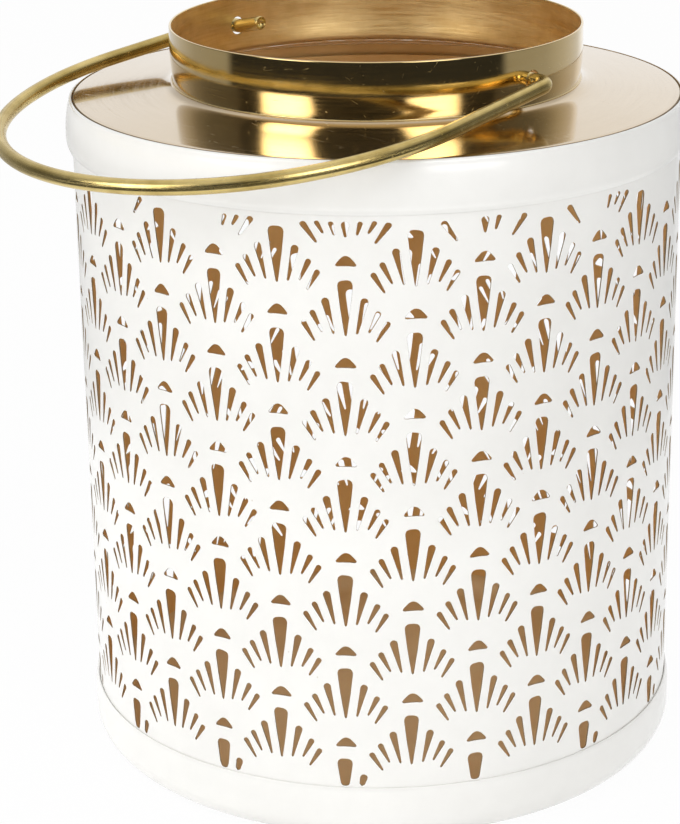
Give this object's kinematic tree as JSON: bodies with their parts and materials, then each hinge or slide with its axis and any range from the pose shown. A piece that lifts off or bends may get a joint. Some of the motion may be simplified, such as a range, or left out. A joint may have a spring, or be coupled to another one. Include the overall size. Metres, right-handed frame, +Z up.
{
  "type": "hurricane candle holder",
  "caption": "Cylindrical pierced-metal candle lantern with a scalloped fan pattern, a shallow pan base, an open brass neck and a swinging wire bail.",
  "frame": {"origin": "middle of the pan's flat underside, on the surface that the holder stands on", "axes": "+Z up along the holder's own axis; X along the bail's pivot axis; the resting bail lies towards -Y"},
  "size_m": [0.1938, 0.2276, 0.2339],
  "materials": {
    "pan_enamel": "gloss white enamel outside, gold lacquer inside",
    "wall_enamel": "gloss white enamel outside, gold lacquer inside",
    "ring_enamel": "gloss white enamel",
    "plate_brass": "polished brass plating",
    "collar_brass": "polished brass plating outside, brushed inside",
    "bail_brass": "satin brass plating"
  },
  "bodies": {
    "holder": {"base_pan": "pan_enamel", "pierced_wall": "wall_enamel", "shoulder_ring": "ring_enamel", "top_plate": "plate_brass", "neck_collar": "collar_brass"},
    "bail": {"bail_handle": "bail_brass"}
  },
  "joints": [
    {"name": "bail_hinge", "type": "hinge", "parent": "holder", "child": "bail", "pos_m": [0, 0, 0.2242], "axis": [-1, 0, 0], "range_deg": [0, 193.9]}
  ]
}
